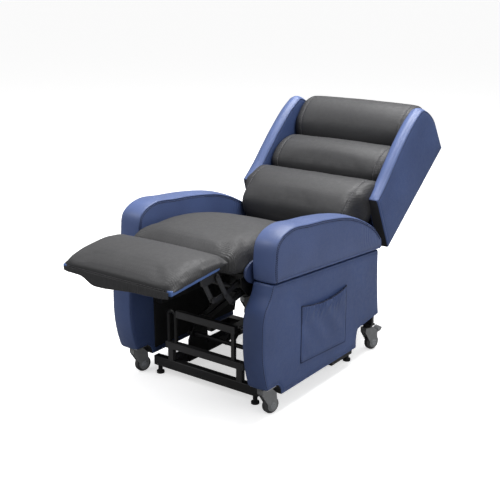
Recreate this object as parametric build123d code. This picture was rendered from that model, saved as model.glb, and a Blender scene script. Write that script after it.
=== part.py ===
from build123d import *
import os
from math import cos, radians, sin

# Lift recliner chair, millimetres. X across the chair, the sitter faces -Y, Z up from the floor.
# It is drawn fully reclined with the legrest out and the lift down. Side-view points are (Y, Z).

# ---- driving dimensions -------------------------------------------------------------------
FRONT_Y = -1088.0           # foremost point, the legrest's skirt
REAR_Y = 658.7              # rearmost point, the top of the back
ORIGIN_Y = -(FRONT_Y + REAR_Y) / 2  # moves the drawing so that the origin is under the middle
OUTER_X = 360.0             # outer face of a side panel
INNER_X = 270.0             # inner face of a side panel
ARM_OUTER_X = 366.0         # the arm pads stand a little proud of the panels
LINING_T = 5.7              # black board inside each side panel
PANEL_BOTTOM = 74.0

SEAT_HALF = 248.0
PAD_HALF = 256.0
ROLL_HALF_LOW = 264.0
ROLL_HALF_HIGH = 296.0
WING_INNER = 300.0
WING_OUTER = 355.0
BACK_ANGLE = 36.7           # back above horizontal when fully reclined, degrees
BACK_CORNER = (180.0, 441.0)    # lower rear corner of the wings

CASTOR_WHEEL_R = 32.5
CASTOR_WHEEL_W = 23.0
CASTOR_TRAIL = 27.0
CASTOR_HEADING = -18.0      # each wheel trails towards the rear right, degrees from +Y
CASTOR_TOP = 105.5          # top of the fork crown
FRONT_CASTOR = (316.0, -660.0)
REAR_CASTOR = (320.0, 85.0)
CASTOR_PIN_R = 5.0
AXLE_R = 4.0
FORK_HALF = 17.0            # half the width of a castor fork
FORK_INSIDE = 12.5          # from the fork's middle to the inside of a cheek
CHEEK_R = 22.0              # round cheek of a fork leg, around the axle
FORK_CROWN_Z = 84.0         # underside of the crown
PEDAL_PIN = (33.0, 76.0)    # in the castor's own frame
PEDAL_PIN_R = 2.5
FIT = 0.06                  # radial clearance of a turning fit
SLACK = 1.3                 # radial clearance where a closed linkage is opened

LINK_T = 8.0                # lift link bars
LINK_W = 26.0
SCISSOR_T = 5.0             # legrest link bars
SCISSOR_W = 18.0
PIN_R = 5.0

# ---- pivots, side view --------------------------------------------------------------------
LIFT_A = (-460.0, 135.0)    # front lift link on the base
LIFT_B = (-188.2, 197.5)    # front lift link on the chassis
LIFT_C = (-414.0, 185.4)    # rear lift link on the base
LIFT_D = (-48.2, 298.4)     # rear lift link on the chassis
SEAT_PIVOT = (-100.0, 405.0)
BACK_PIVOT = (-60.0, 470.0)
LEG_R = (-672.2, 500.3)     # legrest cross link on the seat frame
LEG_K = (-767.1, 475.3)     # cross link and long link
LEG_M = (-727.7, 437.2)     # lower end of the long link
LEG_S = (-631.5, 459.1)     # rear link on the seat frame
LEG_P2 = (-814.0, 557.0)    # long link on the board bracket
LEG_P1 = (-873.0, 552.0)    # front link on the board bracket
LEG_J = (LEG_P1[0] + LEG_K[0] - LEG_P2[0], LEG_P1[1] + LEG_K[1] - LEG_P2[1])

# actuators: motor pivot, rod end pivot, X place, radius of the rod eye's hole
LIFT_ACTUATOR = ((60.0, 80.0), (-410.0, 175.0), 0.0, 11.6)
BACK_ACTUATOR = ((-500.0, 440.0), (-49.0, 410.0), 90.0, 7.4)
LEG_ACTUATOR = ((-150.0, 450.0), (-690.0, 470.0), -90.0, 11.6)
TILT_ACTUATOR = ((60.0, 240.0), (-300.0, 400.0), 165.0, 6.2)
EAR_GAP = 11.0              # from an actuator's middle plane to the inside of an ear


# ---- helpers ------------------------------------------------------------------------------
def box(x, y, z):
    """Box between the two values of each axis."""
    size = [abs(b - a) for a, b in (x, y, z)]
    middle = [(a + b) / 2 for a, b in (x, y, z)]
    return Pos(*middle) * Box(*size)


def plate(points, x0, x1):
    """Side-view outline given thickness from x0 to x1."""
    face = make_face(Plane.YZ.offset(x0) * Polyline(*points, close=True))
    return extrude(face, x1 - x0, dir=(1, 0, 0))


def curved_plate(curves, x0, x1):
    """Given thickness from x0 to x1 inside a closed side-view outline of curves."""
    face = make_face((Plane.YZ.offset(x0) * curves).edges())
    return extrude(face, x1 - x0, dir=(1, 0, 0))


def rod_x(point, radius, x0, x1):
    """Round bar along X at a side-view point."""
    return Pos((x0 + x1) / 2, *point) * Rot(0, 90, 0) * Cylinder(radius, abs(x1 - x0))


def bar(p, q, width, x0, x1, bores=()):
    """Flat link bar with round ends from p to q, with the listed (point, radius) holes."""
    length = ((q[0] - p[0]) ** 2 + (q[1] - p[1]) ** 2) ** 0.5
    uy, uz = (q[0] - p[0]) / length * width / 2, (q[1] - p[1]) / length * width / 2
    corners = [(p[0] - uz, p[1] + uy), (q[0] - uz, q[1] + uy), (q[0] + uz, q[1] - uy), (p[0] + uz, p[1] - uy)]
    solid = plate(corners, x0, x1) + rod_x(p, width / 2, x0, x1) + rod_x(q, width / 2, x0, x1)
    for point, radius in bores:
        solid -= rod_x(point, radius, x0 - 1, x1 + 1)
    return solid


def both(solid):
    """The right-hand solid and its mirror image on the left."""
    return [solid, mirror(solid, about=Plane.YZ)]


def between(p, q, distance):
    """Point at a distance from p on the line towards q."""
    length = ((q[0] - p[0]) ** 2 + (q[1] - p[1]) ** 2) ** 0.5
    return (p[0] + (q[0] - p[0]) * distance / length, p[1] + (q[1] - p[1]) * distance / length)


def on_back(u, v):
    """Side-view point from u up the back's rear edge and v forwards from it."""
    c, s = cos(radians(BACK_ANGLE)), sin(radians(BACK_ANGLE))
    return (BACK_CORNER[0] + u * c - v * s, BACK_CORNER[1] + u * s + v * c)


# ---- base frame ---------------------------------------------------------------------------
RAIL_IN, RAIL_OUT = 178.0, 218.0
RAIL_Z = (25.0, 65.0)
FRONT_BAR_Y = (-622.0, -592.0)
FRONT_BAR_Z = (35.0, 75.0)
FRONT_BAR_HALF = 255.0
REAR_BAR_Y = (40.0, 75.0)
OUTRIGGER_END = 322.0
OUTRIGGER_Z = (28.0, 58.0)
FOOT_R, FOOT_STEM_R, FOOT_T = 16.0, 9.0, 9.0
FRONT_FOOT = (236.0, -607.0)
REAR_FOOT = (309.0, -60.0)
EAR_T = 4.0                 # an actuator's ear
EAR_W = 20.0
LOWER_BAR_Z = (125.0, 153.0)
UPPER_BAR_Z = (262.0, 290.0)
TOWER_Y = (-620.0, -600.0)
HOOP_X = (-182.0, -146.0)
HOOP_TOP = 282.0
HOOP_R = 8.0


def base_side_rails():
    return both(box((RAIL_IN, RAIL_OUT), (FRONT_BAR_Y[1], REAR_BAR_Y[0]), RAIL_Z))


def base_front_bar():
    bar_solid = box((-FRONT_BAR_HALF, FRONT_BAR_HALF), FRONT_BAR_Y, FRONT_BAR_Z)
    return [fillet(bar_solid.edges().filter_by(Axis.X), 3)]


def base_rear_bar():
    """Rear bar with the lift actuator's lug."""
    body = box((-RAIL_OUT, RAIL_OUT), REAR_BAR_Y, RAIL_Z)
    for side in (-1, 1):
        body += box((side * EAR_GAP, side * (EAR_GAP + EAR_T)), (49, 71), (RAIL_Z[1], 90))
    return [body + rod_x(LIFT_ACTUATOR[0], PIN_R, -EAR_GAP, EAR_GAP)]


def base_outriggers():
    """Bars under the side panels that carry the rear feet."""
    arm = box((RAIL_OUT, OUTRIGGER_END), (-78, -42), OUTRIGGER_Z)
    foot_plate = box((OUTRIGGER_END - 26, OUTRIGGER_END), (-200, -78), OUTRIGGER_Z)
    return both(arm + foot_plate)


def base_feet():
    """Levelling feet under the front bar and the outriggers."""
    feet = []
    for (x, y), top in ((FRONT_FOOT, FRONT_BAR_Z[0]), (REAR_FOOT, OUTRIGGER_Z[0])):
        pad = Pos(x, y, FOOT_T / 2) * Cylinder(FOOT_R, FOOT_T)
        stem = Pos(x, y, (FOOT_T + top) / 2) * Cylinder(FOOT_STEM_R, top - FOOT_T)
        feet += both(pad + stem)
    return feet


def base_posts():
    """Posts of the front tower, between its bars."""
    low = (FRONT_BAR_Z[1], LOWER_BAR_Z[0])
    left = box((-182, -156), TOWER_Y, low)
    right = box((156, 182), TOWER_Y, low)
    upper = box((130, 145), (-617, -603), (LOWER_BAR_Z[1], UPPER_BAR_Z[0]))
    return [left, right, upper]


def base_cross_bars():
    lower = box((-192, 192), (-622, -598), LOWER_BAR_Z)
    upper = box((-138, 150), TOWER_Y, UPPER_BAR_Z)
    return [lower, upper]


def base_hoop():
    """Bent tube at the left end of the tower."""
    outer, inner = HOOP_X
    y = sum(TOWER_Y) / 2
    foot, shoulder = LOWER_BAR_Z[1], HOOP_TOP - (inner - outer) / 2
    path = (
        Line((outer, y, foot), (outer, y, shoulder))
        + ThreePointArc((outer, y, shoulder), ((outer + inner) / 2, y, HOOP_TOP), (inner, y, shoulder))
        + Line((inner, y, shoulder), (inner, y, foot))
    )
    profile = Plane(origin=(outer, y, foot), z_dir=(0, 0, 1)) * Circle(HOOP_R)
    return [sweep(profile, path=Wire(path.edges()))]


def lift_pivot_plates():
    """Plates on the base rails, bored for the front links' shaft, with the rear links' lower pins."""
    outline = [(-500, 25), (-375, 25), (-385, 190), (-400, 206), (-428, 206), (-482, 146), (-500, 120)]
    body = plate(outline, RAIL_IN - 6, RAIL_IN) - rod_x(LIFT_A, SHAFT_R + FIT, RAIL_IN - 7, RAIL_IN + 1)
    return both(body + rod_x(LIFT_C, PIN_R, RAIL_IN, 195))


def lugs(point, x, pin_radius, toward):
    """Pair of ears with a pin at point, reaching to a bar centred at toward."""
    left = bar(point, toward, EAR_W, x - EAR_GAP - EAR_T, x - EAR_GAP)
    right = bar(point, toward, EAR_W, x + EAR_GAP, x + EAR_GAP + EAR_T)
    return left + right + rod_x(point, pin_radius, x - EAR_GAP, x + EAR_GAP)


# ---- lift links ---------------------------------------------------------------------------
REAR_LINK_X = (184.0, 192.0)
FRONT_LINK_X = (198.0, 206.0)
REAR_TORQUE = (-200.0, 251.5)
SHAFT_R = 9.0               # the front links turn on this shaft


def lift_front_link():
    """Front links on one shaft, with the crank that the lift actuator pushes."""
    sides = both(bar(LIFT_A, LIFT_B, LINK_W, *FRONT_LINK_X, [(LIFT_B, PIN_R + FIT)]))
    shaft = rod_x(LIFT_A, SHAFT_R, -FRONT_LINK_X[0], FRONT_LINK_X[0])
    return sides + [shaft + lugs(LIFT_ACTUATOR[1], LIFT_ACTUATOR[2], PIN_R, LIFT_A)]


def lift_rear_link():
    bores = [(LIFT_C, PIN_R + FIT), (LIFT_D, PIN_R + SLACK)]
    sides = both(bar(LIFT_C, LIFT_D, LINK_W, *REAR_LINK_X, bores))
    tube = rod_x(REAR_TORQUE, 11, -REAR_LINK_X[0], REAR_LINK_X[0])
    return sides + [tube]


# ---- linear actuators ---------------------------------------------------------------------
ROD_R = 10.0
GEARBOX_START, GEARBOX_END = 17.0, 67.0


def actuator_frame(spec, motor_up):
    """Plane at the motor's rear pivot, its x towards the rod end and its z on the motor's side."""
    rear, front, x, _ = spec
    along = Vector(0, front[0] - rear[0], front[1] - rear[1]).normalized()
    side = Vector(0, -along.Z, along.Y)
    if (side.Z > 0) != motor_up:
        side = side * -1
    return Plane(origin=(x, *rear), x_dir=along, z_dir=side)


def actuator_length(spec):
    rear, front = spec[0], spec[1]
    return ((front[0] - rear[0]) ** 2 + (front[1] - rear[1]) ** 2) ** 0.5


def along_x(radius, start, stop):
    """Round bar along the actuator."""
    return Pos((start + stop) / 2, 0, 0) * Rot(0, 90, 0) * Cylinder(radius, stop - start)


def actuator_motor(spec, tube_end, motor_up):
    """Gear motor and outer tube, with the rear eye on its pivot."""
    eye = Rot(90, 0, 0) * Cylinder(11, 17) + Pos(10, 0, 0) * Box(20, 17, 22)
    gearbox = box((GEARBOX_START, GEARBOX_END), (-14, 14), (-14, 16))
    motor = Pos(44, 0, 41) * Cylinder(19, 52)
    body = eye + gearbox + motor + along_x(14, GEARBOX_END, tube_end)
    body -= Rot(90, 0, 0) * Cylinder(PIN_R + FIT, 20)
    body -= along_x(ROD_R + FIT, GEARBOX_END + 4, tube_end + 1)
    return [actuator_frame(spec, motor_up) * body]


def actuator_rod(spec, start, motor_up):
    """Rod that slides in the outer tube, with a slack eye at its free end."""
    length, hole = actuator_length(spec), spec[3]
    eye = Pos(length, 0, 0) * Rot(90, 0, 0)
    body = along_x(ROD_R, start, length - hole - 2) + eye * Cylinder(hole + 5.5, 14)
    body -= eye * Cylinder(hole, 20)
    return [actuator_frame(spec, motor_up) * body]


# ---- chassis with side panels and arms ----------------------------------------------------
CHASSIS_X = (234.0, INNER_X - LINING_T - 0.3)
CHASSIS_Z = (290.0, 320.0)
LINING_HALF = 352.0
BRACKET_X = (212.0, 218.0)


def side_panels():
    """Upholstered side, open below for the castors; right-hand one first."""
    front = (
        Line((-703, 121), (-727, 205))
        + ThreePointArc((-727, 205), (-736, 310), (-721, 420))
        + Line((-721, 420), (-683, 474))
        + Line((-683, 474), (-670, 512))
    )
    rest = Polyline(
        (-670, 512), (86, 455), (93, 300), (108, 170), (-63, 153), (-69, 138), (-72, PANEL_BOTTOM),
        (-611, PANEL_BOTTOM), (-624, 110), (-639, 121), (-703, 121),
    )
    return curved_plate(front + rest, INNER_X, OUTER_X)


def arm_pads():
    top = Spline((-662, 664), (-577, 704), (-322, 689), (-143, 654), (57, 552), (92, 516))
    rest = Polyline((92, 516), (96, 458), (-668, 515), (-676, 592), (-662, 664))
    return curved_plate(top + rest, INNER_X, ARM_OUTER_X)


def inner_linings():
    outline = [(-600, 100), (-72, 100), (-60, 165), (84, 175), (84, 435), (-600, 490)]
    return both(plate(outline, INNER_X - LINING_T, INNER_X - 0.01))


def rear_lining():
    """Black cover across the panels' rear edges, bellied out at half height."""
    belly = ThreePointArc((107.9, 190), (109.5, 262), (91.6, 395))
    rest = Polyline((91.6, 395), (89.6, 395), (93.2, 300), (105.9, 190), (107.9, 190))
    return [curved_plate(belly + rest, -LINING_HALF, LINING_HALF)]


def side_pocket():
    """Gathered pocket on the right-hand side panel."""
    mouth = ThreePointArc((-495, 383), (-335, 366), (-175, 376))
    rest = Polyline((-175, 376), (-175, 137), (-495, 157), (-495, 383))
    return [curved_plate(mouth + rest, OUTER_X, ARM_OUTER_X)]


def chassis_rails():
    """Side rails with the brackets for the lift links and the seat pivot."""
    rail = box(CHASSIS_X, (-590, 75), CHASSIS_Z)
    spacer = box((BRACKET_X[1], CHASSIS_X[0]), (-170, -20), (296, 314))
    outline = [(-206, 190), (-188, 180), (-170, 186), (-26, 280), (-20, 320), (-170, 320)]
    bracket = plate(outline, *BRACKET_X)
    pins = rod_x(LIFT_B, PIN_R, 197, BRACKET_X[0]) + rod_x(LIFT_D, PIN_R, 183, BRACKET_X[0])
    ear = plate([(-130, 320), (-70, 320), (-84, 412), (-100, 422), (-116, 412)], 240, 246)
    pivot = rod_x(SEAT_PIVOT, PIN_R, 229, 240)
    return both(rail + spacer + bracket + pins + ear + pivot)


def chassis_cross_tube():
    """Rear cross tube with the tilt actuator's lug."""
    tube = box((-CHASSIS_X[0], CHASSIS_X[0]), (42, 72), CHASSIS_Z)
    rear, _, x, _ = TILT_ACTUATOR
    for side in (-1, 1):
        tube += box((x + side * EAR_GAP, x + side * (EAR_GAP + EAR_T)), (53, 72), (228, CHASSIS_Z[0]))
    return [tube + rod_x(rear, PIN_R, x - EAR_GAP, x + EAR_GAP)]


# ---- castors ------------------------------------------------------------------------------
CUP_R, CUP_Z = 17.0, (106.0, 115.0)     # bearing cup above the fork
PIN_Z = (90.0, 106.0)
MOUNT_PLATE_Z = (CUP_Z[1], 121.0)
POST_HALF_T = 8.0                       # upright post of a rear castor's bracket
POST_TOP = 166.5
CASTOR_AXLE = (CASTOR_TRAIL, CASTOR_WHEEL_R)


def castor_spot(name):
    """Swivel axis of a castor, X and Y."""
    x, y = FRONT_CASTOR if name[0] == "f" else REAR_CASTOR
    return (x, y) if name[1] == "r" else (-x, y)


def castor_place(name):
    return Pos(*castor_spot(name), 0) * Rot(0, 0, CASTOR_HEADING)


def castor_mount(name):
    """Plate, bearing cup and kingpin above a castor, with an upright post on the rear ones."""
    x, y = castor_spot(name)
    cup = Pos(x, y, sum(CUP_Z) / 2) * Cylinder(CUP_R, CUP_Z[1] - CUP_Z[0])
    pin = Pos(x, y, sum(PIN_Z) / 2) * Cylinder(CASTOR_PIN_R, PIN_Z[1] - PIN_Z[0])
    if name[0] == "f":
        return box((x - 38, x + 38), (y - 36, y + 20), MOUNT_PLATE_Z) + cup + pin
    base = box((x - 26, x + 26), (y - 20, y + 20), MOUNT_PLATE_Z)
    post = box((x - 26, x + 26), (y - POST_HALF_T, y + POST_HALF_T), (MOUNT_PLATE_Z[1], POST_TOP))
    return base + post + cup + pin


def castor_fork(name):
    """Swivelling fork with round cheeks; the rear ones also carry the brake pedal's pin."""
    outline = [(-21, CASTOR_TOP), (21, CASTOR_TOP), (43, 82), (48, 40), (6, 40), (-21, 84)]
    fork = fillet(plate(outline, -FORK_HALF, FORK_HALF).edges().filter_by(Axis.X).sort_by(Axis.Z)[2:], 4)
    fork += rod_x(CASTOR_AXLE, CHEEK_R, -FORK_HALF, FORK_HALF)
    fork -= box((-FORK_INSIDE, FORK_INSIDE), (-30, 60), (10, FORK_CROWN_Z))
    fork -= Cylinder(CASTOR_PIN_R + FIT, 300)
    fork += rod_x(CASTOR_AXLE, AXLE_R, -FORK_HALF, FORK_HALF)
    if name[0] == "r":
        fork += rod_x(PEDAL_PIN, PEDAL_PIN_R, -FORK_HALF, FORK_HALF)
    return [castor_place(name) * fork]


def castor_wheel(name):
    """Wheel with a dished face and a hub boss on each side."""
    half = CASTOR_WHEEL_W / 2
    wheel = rod_x(CASTOR_AXLE, CASTOR_WHEEL_R, -half, half)
    wheel = fillet(wheel.edges().filter_by(GeomType.CIRCLE), 6)
    for side in (-1, 1):
        wheel -= rod_x(CASTOR_AXLE, 22, side * half, side * (half - 3))
        wheel += rod_x(CASTOR_AXLE, 9, side * half, side * (half - 4))
    return [castor_place(name) * (wheel - rod_x(CASTOR_AXLE, AXLE_R + FIT, -half - 1, half + 1))]


def brake_pedal(name):
    """Rocking brake pedal between the fork's legs, with a curved tab behind them."""
    arm = plate([(24, 70), (48, 69), (58, 77), (50, 87), (40, 81.5), (24, 80)], -11, 11)
    tab = plate([(47, 78), (58, 77), (67, 84), (72, 91), (68, 96), (58, 95), (49, 88)], -15, 15)
    return [castor_place(name) * (arm + tab - rod_x(PEDAL_PIN, PEDAL_PIN_R + FIT, -12, 12))]


# ---- seat ---------------------------------------------------------------------------------
SEAT_PLATE_X = (230.0, 236.0)
SEAT_TUBE_FRONT = (-510.0, 494.0)
SEAT_TUBE_REAR = (-140.0, 472.0)


def seat_side_plates():
    """Side plates of the seat frame with the legrest and back pivots."""
    outline = [
        (-692, 520), (-692, 485), (-650, 440), (-610, 440), (-560, 470), (-340, 462), (-320, 416),
        (-280, 416), (-260, 458), (-130, 452), (-118, 396), (-100, 387), (-82, 396), (-70, 448), (-44, 456), (-40, 474),
        (-50, 490), (-72, 490), (-84, 477),
    ]
    body = plate(outline, *SEAT_PLATE_X) - rod_x(SEAT_PIVOT, PIN_R + FIT, 220, 240)
    for point in (LEG_R, LEG_S):
        body += rod_x(point, PIN_R, 213, SEAT_PLATE_X[0])
    body += rod_x(BACK_PIVOT, PIN_R, 221, SEAT_PLATE_X[0])
    for y, z in ((-580, 485), (-180, 462)):
        body += box((SEAT_PLATE_X[1], 250), (y - 20, y + 20), (z, z + 18))
    return both(body)


def seat_cross_tubes():
    """Front, rear and short tilt tubes, with the actuator lugs."""
    front = rod_x(SEAT_TUBE_FRONT, 11, -SEAT_PLATE_X[0], SEAT_PLATE_X[0])
    front += lugs(BACK_ACTUATOR[0], BACK_ACTUATOR[2], PIN_R, SEAT_TUBE_FRONT)
    rear = rod_x(SEAT_TUBE_REAR, 11, -SEAT_PLATE_X[0], SEAT_PLATE_X[0])
    rear += lugs(LEG_ACTUATOR[0], LEG_ACTUATOR[2], PIN_R, SEAT_TUBE_REAR)
    tilt_tube = (TILT_ACTUATOR[1][0], 432.0)
    tilt = rod_x(tilt_tube, 10, TILT_ACTUATOR[2] - 14, SEAT_PLATE_X[0])
    tilt += lugs(TILT_ACTUATOR[1], TILT_ACTUATOR[2], PIN_R, tilt_tube)
    return [front, rear, tilt]


def seat_deck():
    """Black board under the seat cushion."""
    return [plate([(-700, 525), (-82, 480), (-82, 491), (-700, 536)], -246, 246)]


def seat_cushion():
    top = Spline((-735, 622), (-640, 641), (-510, 641), (-318, 606), (-150, 550))
    rest = Polyline((-150, 550), (-84, 528), (-81, 492), (-700, 537), (-716, 541), (-766, 572), (-768, 604),
                    (-735, 622))
    return [curved_plate(top + rest, -SEAT_HALF, SEAT_HALF)]


def seat_cheeks():
    """Upholstered sides of the seat box."""
    corner = ThreePointArc((-702, 566), (-686, 517), (-640, 492))
    rest = Polyline((-640, 492), (-100, 454), (-95, 528), (-160, 545), (-640, 602), (-704, 600), (-702, 566))
    return both(curved_plate(corner + rest, 250, 262))


# ---- back ---------------------------------------------------------------------------------
BACK_PLATE_X = (222.0, 228.0)
BACK_TUBE = (-5.0, 410.0)
SHELL_HALF = WING_INNER - 0.5
# cushion outlines as (u, v), see on_back
UPPER_ROLL = [(418, 74), (418, 170), (455, 212), (520, 228), (585, 222), (635, 185), (648, 125), (640, 74)]
MIDDLE_ROLL = [(190, 79), (190, 206), (243, 230), (300, 232), (352, 218), (416, 170), (416, 74)]
LOWER_ROLL = [(188, 80), (188, 206), (150, 245), (105, 263), (-20, 283), (-76, 279), (-102, 222), (-102, 81)]


def back_plates():
    """Pivot arms of the back with their cross tube and actuator crank."""
    outline = [
        on_back(4, 20), on_back(4, 76), (48, 430), (-45, 486), (-72, 484), (-79, 464), (-62, 446), (-22, 394),
        (40, 384), on_back(-60, 20),
    ]
    sides = both(plate(outline, *BACK_PLATE_X) - rod_x(BACK_PIVOT, PIN_R + FIT, 210, 240))
    tube = rod_x(BACK_TUBE, 11, -BACK_PLATE_X[0], BACK_PLATE_X[0])
    return sides + [tube + lugs(BACK_ACTUATOR[1], BACK_ACTUATOR[2], PIN_R, BACK_TUBE)]


def back_shell():
    outline = [on_back(5, 4), on_back(600, 4), on_back(600, 70), on_back(5, 77)]
    return [plate(outline, -SHELL_HALF, SHELL_HALF)]


def back_roll(points, half):
    return [plate([on_back(u, v) for u, v in points], -half, half)]


def wings():
    outline = [
        (0, 0), (60, 236), (149, 243), (248, 261), (346, 277), (521, 281), (551, 275), (573, 251), (598, 189),
        (603, 133), (585, 0),
    ]
    return plate([on_back(u, v) for u, v in outline], WING_INNER, WING_OUTER)


# ---- legrest ------------------------------------------------------------------------------
CROSS_X = (214.0, 219.0)
LONG_X = (222.0, 227.0)
FRONT_X = (206.0, 211.0)
LEG_TUBE = between(LEG_R, LEG_K, 39.0)


def legrest_cross_link():
    """Links on the seat pivots that cross the long links, joined by a crank tube."""
    side = bar(LEG_J, LEG_K, SCISSOR_W, *CROSS_X) + bar(LEG_K, LEG_R, SCISSOR_W, *CROSS_X)
    side -= rod_x(LEG_R, PIN_R + FIT, 200, 240)
    side += rod_x(LEG_K, PIN_R, CROSS_X[1], 228) + rod_x(LEG_J, PIN_R, 205, CROSS_X[0])
    tube = rod_x(LEG_TUBE, 8, -CROSS_X[0], CROSS_X[0])
    return both(side) + [tube + lugs(LEG_ACTUATOR[1], LEG_ACTUATOR[2], PIN_R, LEG_TUBE)]


def legrest_long_links():
    side = bar(LEG_P2, LEG_K, SCISSOR_W, *LONG_X) + bar(LEG_K, LEG_M, SCISSOR_W, *LONG_X)
    for point, radius in ((LEG_P2, PIN_R + FIT), (LEG_K, PIN_R + FIT), (LEG_M, PIN_R + SLACK)):
        side -= rod_x(point, radius, 200, 240)
    return both(side)


def legrest_rear_links():
    side = bar(LEG_S, LEG_M, SCISSOR_W, *CROSS_X, [(LEG_S, PIN_R + FIT)])
    return both(side + rod_x(LEG_M, PIN_R, CROSS_X[1], 228))


def legrest_front_links():
    return both(bar(LEG_P1, LEG_J, SCISSOR_W, *FRONT_X, [(LEG_P1, PIN_R + FIT), (LEG_J, PIN_R + 0.5)]))


def legrest_brackets():
    outline = [(-900, 581.5), (-892, 541), (-873, 536), (-812, 541), (-798, 557), (-806, 572), (-832, 587.5)]
    body = plate(outline, *CROSS_X)
    return both(body + rod_x(LEG_P2, PIN_R, CROSS_X[1], 228) + rod_x(LEG_P1, PIN_R, 205, CROSS_X[0]))


def legrest_board():
    return [plate([(-1082, 565), (-830, 589), (-830, 609), (-1082, 585)], -250, 250)]


def legrest_pad():
    top = Spline((-1066, 606), (-1019, 626), (-945, 641), (-870, 645), (-800, 632))
    rest = Polyline((-800, 632), (-777, 615), (-779, 600), (-830, 610), (-1082, 586), (-1066, 606))
    return [curved_plate(top + rest, -PAD_HALF, PAD_HALF)]


def legrest_flap():
    """Skirt under the pad's front edge, deeper in the middle."""
    face = make_face(Plane.XZ.offset(1083) * Polyline(
        (-240, 586), (240, 586), (236, 560), (60, 546), (-108, 536), (-153, 560), (-236, 562), close=True))
    return [extrude(face, 5, dir=(0, -1, 0))]


# ---- all parts ----------------------------------------------------------------------------
CASTORS = ("fl", "fr", "rl", "rr")


def all_parts():
    """Every sub-part's solids by name."""
    parts = {
        "base_side_rails": base_side_rails(),
        "base_front_bar": base_front_bar(),
        "base_rear_bar": base_rear_bar(),
        "base_outriggers": base_outriggers(),
        "base_feet": base_feet(),
        "base_posts": base_posts(),
        "base_cross_bars": base_cross_bars(),
        "base_hoop": base_hoop(),
        "lift_pivot_plates": lift_pivot_plates(),
        "lift_front_link": lift_front_link(),
        "lift_rear_link": lift_rear_link(),
        "lift_motor": actuator_motor(LIFT_ACTUATOR, 300, True),
        "lift_rod": actuator_rod(LIFT_ACTUATOR, 110, True),
        "chassis_rails": chassis_rails(),
        "chassis_cross_tube": chassis_cross_tube(),
        "inner_linings": inner_linings(),
        "rear_lining": rear_lining(),
        "side_pocket": side_pocket(),
        "tilt_motor": actuator_motor(TILT_ACTUATOR, 290, False),
        "tilt_rod": actuator_rod(TILT_ACTUATOR, 110, False),
        "seat_side_plates": seat_side_plates(),
        "seat_cross_tubes": seat_cross_tubes(),
        "seat_deck": seat_deck(),
        "seat_cushion": seat_cushion(),
        "seat_cheeks": seat_cheeks(),
        "back_plates": back_plates(),
        "back_shell": back_shell(),
        "back_roll_upper": back_roll(UPPER_ROLL, ROLL_HALF_HIGH),
        "back_roll_middle": back_roll(MIDDLE_ROLL, ROLL_HALF_HIGH),
        "back_roll_lower": back_roll(LOWER_ROLL, ROLL_HALF_LOW),
        "back_motor": actuator_motor(BACK_ACTUATOR, 300, False),
        "back_rod": actuator_rod(BACK_ACTUATOR, 110, False),
        "legrest_cross_link": legrest_cross_link(),
        "legrest_long_links": legrest_long_links(),
        "legrest_rear_links": legrest_rear_links(),
        "legrest_front_links": legrest_front_links(),
        "legrest_brackets": legrest_brackets(),
        "legrest_board": legrest_board(),
        "legrest_pad": legrest_pad(),
        "legrest_flap": legrest_flap(),
        "legrest_motor": actuator_motor(LEG_ACTUATOR, 360, False),
        "legrest_rod": actuator_rod(LEG_ACTUATOR, 150, False),
    }
    for name, solid in (("side_panel", side_panels()), ("arm_pad", arm_pads()), ("wing", wings())):
        parts[name + "_right"], parts[name + "_left"] = [[half] for half in both(solid)]
    parts["front_castor_plates"] = [castor_mount("fl"), castor_mount("fr")]
    parts["rear_castor_brackets"] = [castor_mount("rl"), castor_mount("rr")]
    for name in CASTORS:
        parts["castor_fork_" + name] = castor_fork(name)
        parts["castor_wheel_" + name] = castor_wheel(name)
    for name in ("rl", "rr"):
        parts["brake_pedal_" + name] = brake_pedal(name)
    return parts


def solids_of(shapes):
    """Flat list of the solids, moved so that the origin is under the middle of the chair."""
    found = []
    for shape in shapes:
        found += (Pos(0, ORIGIN_Y, 0) * shape).solids()
    return found


def write_parts():
    os.makedirs("parts", exist_ok=True)
    for name, shapes in all_parts().items():
        solids = solids_of(shapes)
        body = solids[0] if len(solids) == 1 else Compound(children=solids)
        export_step(body, "parts/" + name + ".step")


if __name__ == "__main__":
    write_parts()
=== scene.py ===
import bpy
import bmesh
import math
import numpy as np
from mathutils import Matrix, Vector, kdtree
from mathutils.bvhtree import BVHTree
from mathutils.geometry import delaunay_2d_cdt


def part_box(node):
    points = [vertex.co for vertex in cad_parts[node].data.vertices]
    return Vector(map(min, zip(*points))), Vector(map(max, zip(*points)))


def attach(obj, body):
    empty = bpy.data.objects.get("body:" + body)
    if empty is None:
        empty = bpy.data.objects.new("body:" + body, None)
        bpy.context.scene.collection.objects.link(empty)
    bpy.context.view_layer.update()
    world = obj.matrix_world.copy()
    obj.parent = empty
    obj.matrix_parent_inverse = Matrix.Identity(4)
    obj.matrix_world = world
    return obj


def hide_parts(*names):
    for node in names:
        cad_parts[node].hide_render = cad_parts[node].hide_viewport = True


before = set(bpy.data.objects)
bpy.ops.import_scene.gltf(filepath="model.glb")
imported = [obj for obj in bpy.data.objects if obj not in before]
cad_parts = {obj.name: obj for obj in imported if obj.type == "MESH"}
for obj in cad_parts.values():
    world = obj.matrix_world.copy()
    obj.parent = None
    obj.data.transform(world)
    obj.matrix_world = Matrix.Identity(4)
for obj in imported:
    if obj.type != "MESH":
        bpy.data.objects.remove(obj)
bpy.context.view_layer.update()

# Outlines are side views in millimetres, (Y, Z), in the chair's drawing frame; its origin lies
# this far in front of the model's origin.
SKIRT_FRONT = -1.088
ORIGIN_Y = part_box("legrest_flap")[0][1] - SKIRT_FRONT
MM = 0.001


def point(x, y, z):
    """Drawing millimetres to model metres."""
    return Vector((x * MM, y * MM + ORIGIN_Y, z * MM))


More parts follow.
